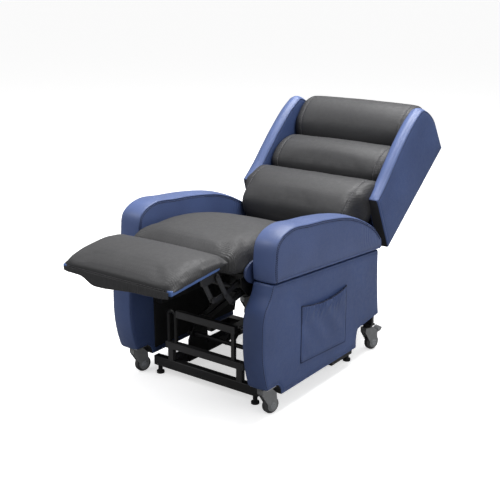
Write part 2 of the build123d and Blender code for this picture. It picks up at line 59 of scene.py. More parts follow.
# ---- camera, light and floor --------------------------------------------------------------
CAMERA_POS = point(2134.3, -3228.1, 1605.4)
CAMERA_AZIMUTH, CAMERA_PITCH = math.radians(36.26), math.radians(17.20)
LENS, SENSOR = 68.23, 36.0
CLIP_END = 250      # metres, past the far edge of the floor
FLOOR_REACH = 90.0  # metres from the middle to each edge
WORLD_STRENGTH = 0.42


def make_camera():
    data = bpy.data.cameras.new("camera")
    data.lens, data.sensor_width = LENS, SENSOR
    data.clip_end = CLIP_END
    cam = bpy.data.objects.new("camera", data)
    cam.location = CAMERA_POS
    cam.rotation_euler = (math.pi / 2 - CAMERA_PITCH, 0, CAMERA_AZIMUTH)
    bpy.context.scene.collection.objects.link(cam)
    bpy.context.scene.camera = cam


def area_light(name, place, target, size, power):
    data = bpy.data.lights.new(name, "AREA")
    data.shape, data.size, data.energy = "SQUARE", size, power
    lamp = bpy.data.objects.new(name, data)
    lamp.location = place
    lamp.rotation_euler = (Vector(target) - Vector(place)).to_track_quat("-Z", "Y").to_euler()
    bpy.context.scene.collection.objects.link(lamp)


def make_studio():
    world = bpy.data.worlds.new("studio")
    bpy.context.scene.world = world
    world.use_nodes = True
    background = world.node_tree.nodes["Background"]
    background.inputs["Color"].default_value = (1, 1, 1, 1)
    background.inputs["Strength"].default_value = WORLD_STRENGTH
    bpy.context.scene.view_settings.view_transform = "Standard"
    area_light("key", (-2.0, -2.8, 3.6), (0, 0, 0.5), 2.2, 62)
    area_light("top", (0.0, 1.1, 3.9), (0, 0, 0.5), 2.6, 215)
    area_light("side", (3.8, -0.6, 1.8), (0, 0, 0.6), 2.4, 34)
    floor_mesh = bpy.data.meshes.new("floor")
    reach = FLOOR_REACH
    corners = [(-reach, -reach, 0), (reach, -reach, 0), (reach, reach, 0), (-reach, reach, 0)]
    floor_mesh.from_pydata(corners, [], [(0, 1, 2, 3)])
    floor = bpy.data.objects.new("floor", floor_mesh)
    bpy.context.scene.collection.objects.link(floor)
    floor.data.materials.append(floor_material())


# ---- materials ----------------------------------------------------------------------------
def new_material(name):
    material = bpy.data.materials.new(name)
    material.use_nodes = True
    tree = material.node_tree
    return material, tree, tree.nodes["Principled BSDF"]


def node(tree, kind, **inputs):
    made = tree.nodes.new(kind)
    for key, value in inputs.items():
        made.inputs[key.replace("_", " ")].default_value = value
    return made


def object_coords(tree):
    return tree.nodes.new("ShaderNodeTexCoord").outputs["Object"]


def noise(tree, coords, scale, detail=4.0, roughness=0.55):
    made = node(tree, "ShaderNodeTexNoise", Scale=scale, Detail=detail, Roughness=roughness)
    tree.links.new(coords, made.inputs["Vector"])
    return made.outputs["Fac"]


def ramp(tree, value, stops):
    made = tree.nodes.new("ShaderNodeValToRGB")
    elements = made.color_ramp.elements
    while len(elements) < len(stops):
        elements.new(0.5)
    for element, (position, colour) in zip(elements, stops):
        element.position = position
        element.color = (*colour, 1)
    tree.links.new(value, made.inputs["Fac"])
    return made.outputs["Color"]


def mapped(tree, value, low, high, to_low, to_high):
    made = node(tree, "ShaderNodeMapRange", From_Min=low, From_Max=high, To_Min=to_low, To_Max=to_high)
    tree.links.new(value, made.inputs["Value"])
    return made.outputs["Result"]


def bump(tree, height, strength, distance, normal=None):
    made = node(tree, "ShaderNodeBump", Strength=strength, Distance=distance)
    tree.links.new(height, made.inputs["Height"])
    if normal is not None:
        tree.links.new(normal, made.inputs["Normal"])
    return made.outputs["Normal"]


def tone(colour, factor):
    return tuple(min(1.0, c * factor) for c in colour)


def mix_colour(tree, factor, a, b):
    made = tree.nodes.new("ShaderNodeMix")
    made.data_type = "RGBA"
    tree.links.new(factor, made.inputs["Factor"])
    for socket, value in ((made.inputs[6], a), (made.inputs[7], b)):
        if isinstance(value, tuple):
            socket.default_value = (*value, 1)
        else:
            tree.links.new(value, socket)
    return made.outputs[2]


X, Y, Z = 0, 1, 2


def metres(axis, value):
    """A drawing millimetre value on one axis as a model coordinate."""
    return value * MM + (ORIGIN_Y if axis == Y else 0.0)


def maths(tree, operation, a, b=0.0):
    made = tree.nodes.new("ShaderNodeMath")
    made.operation = operation
    for socket, value in zip(made.inputs, (a, b)):
        if isinstance(value, float):
            socket.default_value = value
        else:
            tree.links.new(value, socket)
    return made.outputs["Value"]


def pleats(tree, coords, axis, pitch, masks):
    """Height of fine gathers that repeat along an axis. Each mask (axis, none, full) fades them in
    between two drawing coordinates; on X it counts both sides alike."""
    parts = tree.nodes.new("ShaderNodeSeparateXYZ")
    tree.links.new(coords, parts.inputs["Vector"])
    drift = maths(tree, "MULTIPLY", noise(tree, coords, 14.0, 2.0), 0.030)
    place = maths(tree, "ADD", parts.outputs[axis], drift)
    wave = maths(tree, "SINE", maths(tree, "MULTIPLY", place, 2 * math.pi / (pitch * MM)))
    height = maths(tree, "MULTIPLY", wave, noise(tree, coords, 35.0, 2.0))
    for mask_axis, none, full in masks:
        value = parts.outputs[mask_axis]
        if mask_axis == X:
            value = maths(tree, "ABSOLUTE", value)
        share = mapped(tree, value, metres(mask_axis, none), metres(mask_axis, full), 0.0, 1.0)
        height = maths(tree, "MULTIPLY", height, share)
    return height


def vinyl(name, colour, roughness, grain=1.0, gathers=()):
    """Upholstery vinyl: pebble grain, broad handling marks, rubbed edges and sewn-in gathers, given
    as (axis, pitch, depth, masks)."""
    material, tree, shader = new_material(name)
    coords = object_coords(tree)
    cells = node(tree, "ShaderNodeTexVoronoi", Scale=620.0)
    cells.feature = "DISTANCE_TO_EDGE"
    warp = node(tree, "ShaderNodeTexNoise", Scale=240.0, Detail=2.0)
    tree.links.new(coords, warp.inputs["Vector"])
    blend = tree.nodes.new("ShaderNodeMix")
    blend.data_type = "VECTOR"
    blend.inputs["Factor"].default_value = 0.012
    tree.links.new(coords, blend.inputs[4])
    tree.links.new(warp.outputs["Color"], blend.inputs[5])
    tree.links.new(blend.outputs[1], cells.inputs["Vector"])
    pebble = mapped(tree, cells.outputs["Distance"], 0.0, 0.25, 0.0, 1.0)
    broad = noise(tree, coords, 5.0, 3.0)
    fine = noise(tree, coords, 60.0, 5.0)
    mottled = ramp(tree, broad, [(0.3, tone(colour, 0.86)), (0.55, colour), (0.75, tone(colour, 1.13))])
    pores = mix_colour(tree, mapped(tree, pebble, 0.0, 1.0, 0.75, 1.0), tone(colour, 0.7), mottled)
    edge = tree.nodes.new("ShaderNodeNewGeometry").outputs["Pointiness"]
    worn = mix_colour(tree, mapped(tree, edge, 0.53, 0.62, 0.0, 0.4), pores, tone(colour, 1.7))
    tree.links.new(worn, shader.inputs["Base Color"])
    rough = mapped(tree, fine, 0.3, 0.7, roughness - 0.06, roughness + 0.08)
    tree.links.new(rough, shader.inputs["Roughness"])
    soft = bump(tree, broad, 0.25, 0.004)
    for axis, pitch, depth, masks in gathers:
        soft = bump(tree, pleats(tree, coords, axis, pitch, masks), 1.0, depth * MM, soft)
    creased = bump(tree, fine, 0.12 * grain, 0.0012, soft)
    tree.links.new(bump(tree, pebble, 0.22 * grain, 0.00035, creased), shader.inputs["Normal"])
    shader.inputs["Specular IOR Level"].default_value = 0.42
    shader.inputs["Coat Weight"].default_value = 0.06
    shader.inputs["Coat Roughness"].default_value = 0.35
    return material


def lining_cloth(name, colour):
    """Black spun-bonded lining with a dotted emboss."""
    material, tree, shader = new_material(name)
    coords = object_coords(tree)
    dots = node(tree, "ShaderNodeTexVoronoi", Scale=420.0)
    tree.links.new(coords, dots.inputs["Vector"])
    fibres = noise(tree, coords, 900.0, 6.0, 0.7)
    tree.links.new(ramp(tree, fibres, [(0.3, tone(colour, 0.6)), (0.7, tone(colour, 1.6))]),
                   shader.inputs["Base Color"])
    first = bump(tree, dots.outputs["Distance"], 0.3, 0.0006)
    tree.links.new(bump(tree, fibres, 0.35, 0.0004, first), shader.inputs["Normal"])
    shader.inputs["Roughness"].default_value = 0.92
    shader.inputs["Sheen Weight"].default_value = 0.15
    return material


def powder_coat(name, colour, roughness, wear):
    """Satin paint on steel with orange peel, dust and rubbed edges."""
    material, tree, shader = new_material(name)
    coords = object_coords(tree)
    peel = noise(tree, coords, 700.0, 2.0)
    dust = noise(tree, coords, 22.0, 6.0, 0.65)
    dusty = ramp(tree, dust, [(0.35, tone(colour, 0.8)), (0.6, colour), (0.8, tone(colour, 2.2))])
    edge = tree.nodes.new("ShaderNodeNewGeometry").outputs["Pointiness"]
    worn = mix_colour(tree, mapped(tree, edge, 0.55, 0.7, 0.0, wear), dusty, (0.16, 0.16, 0.165))
    tree.links.new(worn, shader.inputs["Base Color"])
    rough = mapped(tree, dust, 0.3, 0.8, roughness - 0.05, roughness + 0.15)
    tree.links.new(rough, shader.inputs["Roughness"])
    tree.links.new(bump(tree, peel, 0.15, 0.0003), shader.inputs["Normal"])
    return material


def moulded(name, colour, roughness):
    """Moulded plastic or rubber with fine spark texture and scuffs."""
    material, tree, shader = new_material(name)
    coords = object_coords(tree)
    spark = noise(tree, coords, 1400.0, 3.0)
    scuff = noise(tree, coords, 45.0, 7.0, 0.7)
    scuffed = ramp(tree, scuff, [(0.35, tone(colour, 0.85)), (0.55, colour), (0.78, tone(colour, 1.3))])
    tree.links.new(scuffed, shader.inputs["Base Color"])
    tree.links.new(mapped(tree, scuff, 0.3, 0.75, roughness, roughness + 0.18), shader.inputs["Roughness"])
    tree.links.new(bump(tree, spark, 0.2, 0.0002), shader.inputs["Normal"])
    return material


def bright_steel(name, colour, roughness):
    """Plated or ground steel with drawn lines and smudges."""
    material, tree, shader = new_material(name)
    coords = object_coords(tree)
    stretch = tree.nodes.new("ShaderNodeMapping")
    stretch.inputs["Scale"].default_value = (6.0, 60.0, 60.0)
    tree.links.new(coords, stretch.inputs["Vector"])
    drawn = noise(tree, stretch.outputs["Vector"], 30.0, 4.0)
    smudge = noise(tree, coords, 30.0, 5.0)
    tree.links.new(ramp(tree, smudge, [(0.3, tone(colour, 0.8)), (0.7, colour)]), shader.inputs["Base Color"])
    tree.links.new(mapped(tree, drawn, 0.3, 0.7, roughness, roughness + 0.15), shader.inputs["Roughness"])
    tree.links.new(bump(tree, drawn, 0.1, 0.0002), shader.inputs["Normal"])
    shader.inputs["Metallic"].default_value = 1.0
    return material


def floor_material():
    """White sweep: it shows pale, and throws back less light than it shows, as black flags would."""
    material, tree, shader = new_material("studio_floor")
    shader.inputs["Base Color"].default_value = (0.9, 0.9, 0.9, 1)
    shader.inputs["Roughness"].default_value = 0.8
    shader.inputs["Specular IOR Level"].default_value = 0.1
    shader.inputs["Emission Color"].default_value = (1, 1, 1, 1)
    shader.inputs["Emission Strength"].default_value = 0.58
    flagged = node(tree, "ShaderNodeBsdfDiffuse", Color=(0.28, 0.28, 0.28, 1))
    seen = tree.nodes.new("ShaderNodeLightPath").outputs["Is Camera Ray"]
    chosen = tree.nodes.new("ShaderNodeMixShader")
    tree.links.new(seen, chosen.inputs["Fac"])
    tree.links.new(flagged.outputs["BSDF"], chosen.inputs[1])
    tree.links.new(shader.outputs["BSDF"], chosen.inputs[2])
    tree.links.new(chosen.outputs["Shader"], tree.nodes["Material Output"].inputs["Surface"])
    return material


BLUE = (0.062, 0.099, 0.240)
# The arm pads' blue is the panels' vinyl painted lighter: painted light for their top-lit look.
LIT_ARM_BLUE = (0.080, 0.120, 0.275)
# The wings' front strip is the blue vinyl painted lighter: painted light.
LIT_STRIP_BLUE = (0.095, 0.140, 0.310)
# The seat cheeks' blue is the panels' vinyl painted darker: painted shade under the seat cushion.
SHADED_CHEEK_BLUE = (0.034, 0.055, 0.140)
BOARD_BLUE = (0.085, 0.165, 0.420)
CHARCOAL = (0.041, 0.041, 0.0432)
# The back rolls' charcoal is the seat's vinyl painted darker: painted shade on the rolls.
SHADED_ROLL_CHARCOAL = (0.033, 0.033, 0.0352)
# A still darker copy of the charcoal vinyl: painted shade on the rolls' ends, the legrest pad's front and its
# skirt.
SHADED_CHARCOAL = (0.029, 0.029, 0.0315)
NEAR_BLACK = (0.006, 0.006, 0.0065)

ARM_GATHERS = [(Y, 13.0, 2.4, [(Y, -95.0, 20.0), (Z, 470.0, 560.0)])]
SEAT_GATHERS = [(Y, 8.0, 1.6, [(X, 150.0, 240.0), (Y, -540.0, -700.0)]),
                (X, 13.0, 0.5, [(Y, -660.0, -745.0)])]
PAD_GATHERS = [(Y, 9.0, 0.45, [(X, 180.0, 252.0)]), (X, 9.0, 0.5, [(Y, -1010.0, -1080.0)])]
ROLL_GATHERS = [(Z, 9.0, 0.45, [(X, 222.0, 250.0)])]
SKIRT_GATHERS = [(X, 6.0, 0.7, [])]

MATERIALS = {
    "blue": vinyl("blue_vinyl", BLUE, 0.46),
    # Arm pads: the blue vinyl painted lighter, as painted light.
    "arm": vinyl("blue_arm_vinyl", LIT_ARM_BLUE, 0.42, 1.0, ARM_GATHERS),
    # Wing front strips: the blue vinyl painted lighter, as painted light.
    "strip": vinyl("blue_vinyl_painted_light_strip", LIT_STRIP_BLUE, 0.42),
    # Seat cheeks: the blue vinyl painted darker, as painted shade.
    "cheek": vinyl("blue_vinyl_painted_shade_cheek", SHADED_CHEEK_BLUE, 0.5),
    "board": vinyl("blue_board_vinyl", BOARD_BLUE, 0.45),
    "seat": vinyl("charcoal_seat_vinyl", CHARCOAL, 0.6, 0.8, SEAT_GATHERS),
    "pad": vinyl("charcoal_legrest_vinyl", CHARCOAL, 0.63, 0.8, PAD_GATHERS),
    # Back rolls: the charcoal vinyl painted darker, as painted shade.
    "roll": vinyl("charcoal_vinyl_painted_shade_roll", SHADED_ROLL_CHARCOAL, 0.57, 0.8, ROLL_GATHERS),
    # Roll ends, the pad's front and the skirt below it: the charcoal vinyl painted darker, as painted shade.
    "gusset": vinyl("charcoal_vinyl_painted_shade_ends", SHADED_CHARCOAL, 0.58, 0.8, ROLL_GATHERS),
    "skirt": vinyl("charcoal_vinyl_painted_shade_skirt", SHADED_CHARCOAL, 0.6, 0.8, SKIRT_GATHERS),
    "lining": lining_cloth("black_lining", NEAR_BLACK),
    "frame": powder_coat("black_powder_coat", (0.0035, 0.0035, 0.0038), 0.42, 0.2),
    "link": powder_coat("dark_link_paint", (0.013, 0.013, 0.014), 0.42, 0.3),
    "castor": moulded("castor_grey_nylon", (0.215, 0.220, 0.225), 0.45),
    "pedal": moulded("pedal_grey_nylon", (0.240, 0.245, 0.250), 0.42),
    "tyre": moulded("castor_dark_tyre", (0.055, 0.055, 0.057), 0.6),
    "hub": moulded("castor_hub_grey", (0.270, 0.280, 0.295), 0.4),
    "rubber": moulded("black_foot_rubber", (0.010, 0.010, 0.011), 0.7),
    "motor": moulded("black_motor_plastic", (0.008, 0.008, 0.009), 0.5),
    "steel": bright_steel("bright_rod_steel", (0.62, 0.62, 0.64), 0.22),
    "zinc": bright_steel("zinc_plate", (0.66, 0.66, 0.68), 0.3),
    "thread_blue": moulded("dark_blue_thread", (0.010, 0.016, 0.045), 0.7),
    "thread_grey": moulded("light_grey_thread", (0.15, 0.15, 0.16), 0.7),
}


# ---- outlines and slabs -------------------------------------------------------------------
BACK_ANGLE = math.radians(36.7)
BACK_CORNER = (180.0, 441.0)


def on_back(pairs):
    """(u, v) pairs, up the back and out of it, to (y, z) pairs."""
    u, v = np.array(pairs, float).T
    cos, sin = math.cos(BACK_ANGLE), math.sin(BACK_ANGLE)
    return np.column_stack([BACK_CORNER[0] + u * cos - v * sin, BACK_CORNER[1] + u * sin + v * cos])


def resample(path, step):
    """Even points along an open path."""
    path = np.array(path, float)
    along = np.concatenate([[0], np.cumsum(np.linalg.norm(np.diff(path, axis=0), axis=1))])
    count = max(2, int(round(along[-1] / step)) + 1)
    wanted = np.linspace(0, along[-1], count)
    return np.column_stack([np.interp(wanted, along, path[:, i]) for i in range(path.shape[1])])


def smooth(points, step):
    """A smooth open curve through points, as even points a step apart."""
    p = np.array(points, float)
    if len(p) == 2:
        return resample(p, step)
    gap = np.linalg.norm(np.diff(p, axis=0), axis=1)[:, None]
    slope = np.diff(p, axis=0) / gap
    inner = (slope[:-1] * gap[1:] + slope[1:] * gap[:-1]) / (gap[1:] + gap[:-1])
    tangent = np.vstack([2 * slope[:1] - inner[:1], inner, 2 * slope[-1:] - inner[-1:]])
    t = np.linspace(0, 1, 20, endpoint=False)[:, None]
    dense = []
    for i in range(len(p) - 1):
        dense.append((1 + 2 * t) * (1 - t) ** 2 * p[i] + t * (1 - t) ** 2 * gap[i] * tangent[i]
                     + t * t * (3 - 2 * t) * p[i + 1] + t * t * (t - 1) * gap[i] * tangent[i + 1])
    return resample(np.vstack(dense + [p[-1:]]), step)


def closed(spans, step=6.0):
    """Joins spans (points, rim radius, bulge, wall material) into outline points and their values."""
    points, values = [], []
    for span, radius, bulge, material in spans:
        part = smooth(span, step)[:-1]
        points.append(part)
        values.append(np.tile([radius, bulge, material], (len(part), 1)))
    points, values = np.vstack(points), np.vstack(values)
    for column, width in ((0, 2), (1, 4)):
        kernel = np.ones(2 * width + 1) / (2 * width + 1)
        ring = np.concatenate([values[-width:, column], values[:, column], values[:width, column]])
        values[:, column] = np.convolve(ring, kernel, "valid")
    return points, values


def area_of(outline):
    y, z = outline.T
    return 0.5 * np.sum(y * np.roll(z, -1) - z * np.roll(y, -1))


def inward(outline):
    """Unit normals pointing into a closed outline."""
    along = np.roll(outline, -1, axis=0) - np.roll(outline, 1, axis=0)
    normal = np.column_stack([-along[:, 1], along[:, 0]]) * np.sign(area_of(outline))
    return normal / np.linalg.norm(normal, axis=1)[:, None]


def depth_in(outline, values, places):
    """Distance from places to the outline, and the rim radius at the nearest edge."""
    a, b = outline, np.roll(outline, -1, axis=0)
    edge = b - a
    best = np.full(len(places), 1e9)
    radius = np.zeros(len(places))
    for i in range(len(outline)):
        t = np.clip(((places - a[i]) @ edge[i]) / (edge[i] @ edge[i]), 0, 1)
        gap = np.linalg.norm(places - (a[i] + t[:, None] * edge[i]), axis=1)
        closer = gap < best
        best[closer] = gap[closer]
        radius[closer] = ((1 - t) * values[i, 0] + t * values[(i + 1) % len(values), 0])[closer]
    return best, radius


def inside(outline, places):
    a, b = outline, np.roll(outline, -1, axis=0)
    crossings = np.zeros(len(places), int)
    for (y0, z0), (y1, z1) in zip(a, b):
        spans = (z0 > places[:, 1]) != (z1 > places[:, 1])
        reach = y0 + (places[:, 1] - z0) / (z1 - z0 if z1 != z0 else 1e-9) * (y1 - y0)
        crossings += spans & (places[:, 0] < reach)
    return crossings % 2 == 1


RIM_STEPS = 5


def cap_points(outline, values, grid, seam):
    """Points inside an outline: rings that follow its rim, then a grid."""
    normal = inward(outline)
    rings = [1 - math.cos(math.pi / 2 * k / RIM_STEPS) for k in range(1, RIM_STEPS + 1)]
    insets = [values[:, 0] * share for share in rings]
    if seam:
        middle, _, width = seam
        insets += [np.full(len(outline), middle + side * width) for side in (-1, -0.5, 0, 0.5, 1)]
    found = []
    for inset in insets:
        places = outline + normal * inset[:, None]
        gap, _ = depth_in(outline, values, places)
        found.append(places[(gap > inset * 0.96) & inside(outline, places)])
    low, high = outline.min(axis=0), outline.max(axis=0)
    y, z = np.meshgrid(np.arange(low[0], high[0], grid), np.arange(low[1], high[1], grid))
    y[1::2] += grid / 2
    places = np.column_stack([y.ravel(), z.ravel()])
    places = places[inside(outline, places)]
    gap, radius = depth_in(outline, values, places)
    margin = grid * 0.45
    keep = gap > radius + margin
    if seam:
        keep &= np.abs(gap - seam[0]) > seam[2] + margin
    return np.vstack(found + [places[keep]])


def slab(name, spans, x0, x1, grid=12.0, crown=(0.0, 0.0), seam=None, materials=(), swell=60.0):
    """A closed upholstered form: an outline swept across X, with rounded rims, crowned faces
    (crown is for the low and the high face), walls that bulge and a sewn groove round each face."""
    outline, values = closed(spans)
    extra = cap_points(outline, values, grid, seam)
    flat = np.vstack([outline, extra])
    count = len(outline)
    made = delaunay_2d_cdt([Vector(p) for p in flat], [], [list(range(count))], 1, 1e-4)
    places = np.array([list(v) for v in made[0]])
    faces = made[2]
    gap, radius = depth_in(outline, values, places)
    on_rim = gap < 1e-3
    gap[on_rim] = 0
    share = np.clip(gap / np.maximum(radius, 1e-6), 0, 1)
    rise = radius * np.sqrt(np.clip(1 - (1 - share) ** 2, 0, 1))
    bulged = 1 - np.exp(-np.clip(gap - radius * 0.5, 0, None) / swell)
    groove = seam[1] * np.exp(-((gap - seam[0]) / (seam[2] * 0.5)) ** 2) if seam else 0 * gap
    mesh = bmesh.new()
    middle = (x0 + x1) / 2
    for side, face_x, amount in ((-1, x0, crown[0]), (1, x1, crown[1])):
        x = face_x - side * (radius - rise) + side * (amount * bulged - groove)
        corners = [mesh.verts.new(point(x[i], *places[i])) for i in range(len(places))]
        for face in faces:
            order = face if side > 0 else face[::-1]
            mesh.faces.new([corners[i] for i in order]).material_index = 0
    normal = inward(outline)
    half = (x1 - x0) / 2
    steps = max(2, int(round((x1 - x0) / grid)))
    rows = []
    for k in range(steps + 1):
        t = 2 * k / steps - 1
        reach = half - values[:, 0]
        out = values[:, 1] * (1 - t * t)
        ring = outline - normal * out[:, None]
        rows.append([mesh.verts.new(point(middle + t * reach[i], *ring[i])) for i in range(count)])
    for low, high in zip(rows[:-1], rows[1:]):
        for i in range(count):
            j = (i + 1) % count
            face = mesh.faces.new([low[i], low[j], high[j], high[i]])
            face.material_index = int(round(values[i, 2]))
    bmesh.ops.remove_doubles(mesh, verts=mesh.verts, dist=2e-6)
    bmesh.ops.recalc_face_normals(mesh, faces=mesh.faces)
    return finished(name, mesh, materials)


def finished(name, mesh, materials):
    """Makes a smooth-shaded object of a bmesh."""
    data = bpy.data.meshes.new(name)
    mesh.to_mesh(data)
    mesh.free()
    obj = bpy.data.objects.new(name, data)
    bpy.context.scene.collection.objects.link(obj)
    for material in materials:
        data.materials.append(MATERIALS[material])
    data.polygons.foreach_set("use_smooth", np.ones(len(data.polygons), bool))
    return obj


def applied(obj):
    """Puts an object's modifiers into its mesh."""
    result = bpy.data.meshes.new_from_object(obj.evaluated_get(bpy.context.evaluated_depsgraph_get()))
    result.polygons.foreach_set("use_smooth", np.ones(len(result.polygons), bool))
    obj.modifiers.clear()
    obj.data = result


def coords(obj):
    found = np.empty(len(obj.data.vertices) * 3)
    obj.data.vertices.foreach_get("co", found)
    return found.reshape(-1, 3)


def normals(obj):
    found = np.empty(len(obj.data.vertices) * 3, np.float32)
    obj.data.vertex_normals.foreach_get("vector", found)
    return found.reshape(-1, 3).astype(float)


def set_coords(obj, places):
    obj.data.vertices.foreach_set("co", places.ravel())
    obj.data.update()


# ---- stuffing, seams and thread -----------------------------------------------------------
def remeshed(obj, voxel):
    made = obj.modifiers.new("remesh", "REMESH")
    made.mode = "VOXEL"
    made.voxel_size = voxel * MM
    made.use_smooth_shade = True
    applied(obj)


def prepare_cloth(obj, held, pressure):
    """Adds cloth to a closed form; held says, for each vertex, how firmly it stays, 0 to 1."""
    group = obj.vertex_groups.new(name="held")
    for level in np.unique(np.round(held, 1)):
        members = np.nonzero(np.round(held, 1) == level)[0]
        group.add(members.tolist(), float(level), "REPLACE")
    cloth = obj.modifiers.new("cloth", "CLOTH")
    settings = cloth.settings
    settings.quality = 5
    settings.mass = 0.3
    settings.tension_stiffness = 18
    settings.compression_stiffness = 12
    settings.shear_stiffness = 8
    settings.bending_stiffness = 0.6
    settings.use_pressure = True
    settings.uniform_pressure_force = pressure
    settings.vertex_group_mass = "held"
    settings.pin_stiffness = 1.0
    settings.effector_weights.gravity = 0
    cloth.collision_settings.use_collision = False
    cloth.collision_settings.use_self_collision = False


CLOTH_FRAMES = 20
PRESSURE = 2.5
CUSHION_CAP, PAD_CAP = 9.0, 7.0     # the furthest a point may swell, in millimetres
ROLL_FREE, ROLL_FADE = 110, 30      # a roll is free this far out of the back, held below
SEAT_FADE, PAD_FADE = 20, 12        # depths over which the seat and the pad become free
EVEN_STEPS = 14


def evened(obj, moves):
    """Spreads each vertex's move over its neighbours, so that swelling leaves no creases."""
    ends = np.empty(len(obj.data.edges) * 2, int)
    obj.data.edges.foreach_get("vertices", ends)
    a, b = ends.reshape(-1, 2).T
    count = np.bincount(a, minlength=len(moves)) + np.bincount(b, minlength=len(moves))
    for _ in range(EVEN_STEPS):
        total = np.zeros_like(moves)
        np.add.at(total, a, moves[b])
        np.add.at(total, b, moves[a])
        moves = 0.5 * moves + 0.5 * total / np.maximum(count, 1)[:, None]
    return moves


def puff(pads):
    """Swells the pads together with cloth pressure. pads holds (object, held, pressure, cap)."""
    before = [coords(obj) for obj, *_ in pads]
    for obj, held, pressure, _ in pads:
        prepare_cloth(obj, held, pressure)
    for frame_number in range(1, CLOTH_FRAMES + 1):
        bpy.context.scene.frame_set(frame_number)
    for (obj, _, _, cap), start in zip(pads, before):
        materials = [slot.material for slot in obj.material_slots]
        indices = np.empty(len(obj.data.polygons), int)
        obj.data.polygons.foreach_get("material_index", indices)
        applied(obj)
        moved = coords(obj) - start
        length = np.linalg.norm(moved, axis=1)
        limited = cap * MM * np.tanh(length / (cap * MM)) / np.maximum(length, 1e-9)
        set_coords(obj, start + evened(obj, moved * limited[:, None]))
        obj.vertex_groups.clear()
        obj.data.materials.clear()
        for material in materials:
            obj.data.materials.append(material)
        obj.data.polygons.foreach_set("material_index", indices)
    bpy.context.scene.frame_set(1)


def near(points, lines, reach):
    """Distance from each point to the nearest line sample; points beyond reach of the lines keep a large
    distance.
    """
    samples = np.vstack(lines)
    tree = kdtree.KDTree(len(samples))
    for i, place in enumerate(samples):
        tree.insert(place, i)
    tree.balance()
    low, high = samples.min(axis=0) - reach, samples.max(axis=0) + reach
    gap = np.full(len(points), 1e9)
    for i in np.nonzero(((points > low) & (points < high)).all(axis=1))[0]:
        gap[i] = tree.find(points[i])[2]
    return gap


def carve(obj, lines, depth, width):
    """Presses a groove into a surface along lines of points."""
    places = coords(obj)
    gap = near(places, lines, 3 * width * MM)
    sunk = depth * MM * np.exp(-(gap / (width * MM)) ** 2)
    set_coords(obj, places - normals(obj) * sunk[:, None])


def subdivided(obj):
    made = obj.modifiers.new("subdivision", "SUBSURF")
    made.levels = made.render_levels = 1
    applied(obj)


def tree_of(obj):
    mesh = bmesh.new()
    mesh.from_mesh(obj.data)
    tree = BVHTree.FromBMesh(mesh)
    mesh.free()
    return tree


CAPSULE_SIDES = 6
CAPSULE_RINGS = ((-1.0, 0.35), (-0.8, 0.85), (0.0, 1.0), (0.8, 0.85), (1.0, 0.35))


def thread(name, obj, lines, material, pitch=7.0, length=4.6, radius=0.8, sink=0.2):
    """Stitches along lines on a surface; the callers attach them to the surface's body."""
    tree = tree_of(obj)
    mesh = bmesh.new()
    for line in lines:
        places = resample(line, pitch * MM)
        along = np.gradient(places, axis=0)
        for place, direction in zip(places, along):
            hit, normal, _, _ = tree.find_nearest(Vector(place), 0.05)
            if hit is None:
                continue
            z = Vector(direction).normalized()
            x = (normal - z * normal.dot(z)).normalized()
            turn = Matrix((x, z.cross(x), z)).transposed()
            centre = hit + normal * radius * MM * (1 - 2 * sink)
            rings = []
            for reach, wide in CAPSULE_RINGS:
                ring = []
                for k in range(CAPSULE_SIDES):
                    a = 2 * math.pi * k / CAPSULE_SIDES
                    across = wide * radius
                    offset = Vector((math.cos(a) * across, math.sin(a) * across, reach * length / 2))
                    ring.append(mesh.verts.new(centre + turn @ (offset * MM)))
                rings.append(ring)
            for low, high in zip(rings[:-1], rings[1:]):
                for k in range(CAPSULE_SIDES):
                    j = (k + 1) % CAPSULE_SIDES
                    mesh.faces.new([low[k], low[j], high[j], high[k]])
            mesh.faces.new(rings[0][::-1])
            mesh.faces.new(rings[-1])
    made = finished(name, mesh, [material])
    return made


# ---- side panels and arms -----------------------------------------------------------------
INNER_X, OUTER_X, ARM_OUTER_X = 270.0, 360.0, 366.0
SIDES = {"left": 1, "right": -1}


def sided(side, low, high):
    """The two X planes on one side of the chair, lowest first."""
    return (low, high) if side > 0 else (-high, -low)


def outward(side, inner, outer):
    """Values for the low and the high face from values for the inner and the outer one."""
    return (inner, outer) if side > 0 else (outer, inner)


def panel_spans():
    rim, thin = 9.0, 4.0
    return [
        ([(-703, 121), (-727, 205), (-736, 310), (-721, 420), (-683, 474), (-670, 509)], rim, 4.0, 0),
        ([(-670, 509), (86, 453)], thin, 0.0, 0),
        ([(86, 453), (93, 300), (108, 170)], rim, 2.0, 0),
        ([(108, 170), (-63, 153)], thin, 0.0, 1),
        ([(-63, 153), (-69, 138), (-72, 74)], thin, 0.0, 1),
        ([(-72, 74), (-611, 74)], thin, 0.0, 0),
        ([(-611, 74), (-624, 110), (-639, 121)], thin, 0.0, 1),
        ([(-639, 121), (-703, 121)], thin, 0.0, 1),
    ]


def make_side_panel(name, side):
    x0, x1 = sided(side, INNER_X, OUTER_X)
    crown = outward(side, 0.0, 4.0)
    panel = slab("upholstered_" + name, panel_spans(), x0, x1, 14.0, crown, (7.0, 2.2, 3.2),
                 ["blue", "lining"])
    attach(panel, "chassis")
    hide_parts(name)
    front = smooth([(-700, 124), (-724, 205), (-733, 310), (-718, 420), (-680, 474), (-668, 505)], 6.0)
    outer_x = side * (OUTER_X - 3)
    line = np.array([list(point(outer_x, *p)) for p in front])
    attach(thread(name + "_front_stitches", panel, [line], "thread_blue",
                   pitch=7.5, length=5.5, radius=1.1), "chassis")
    return panel


def arm_spans():
    rim, thin = 6.0, 3.0
    return [
        ([(-668, 518), (-671, 592), (-655, 660), (-623, 683), (-577, 696), (-453, 689), (-322, 677),
          (-143, 643), (-42, 603), (50, 547), (84, 514)], rim, 5.0, 0),
        ([(84, 514), (96, 498), (96, 461)], rim, 3.0, 0),
        ([(96, 461), (-668, 518)], thin, 0.0, 0),
    ]


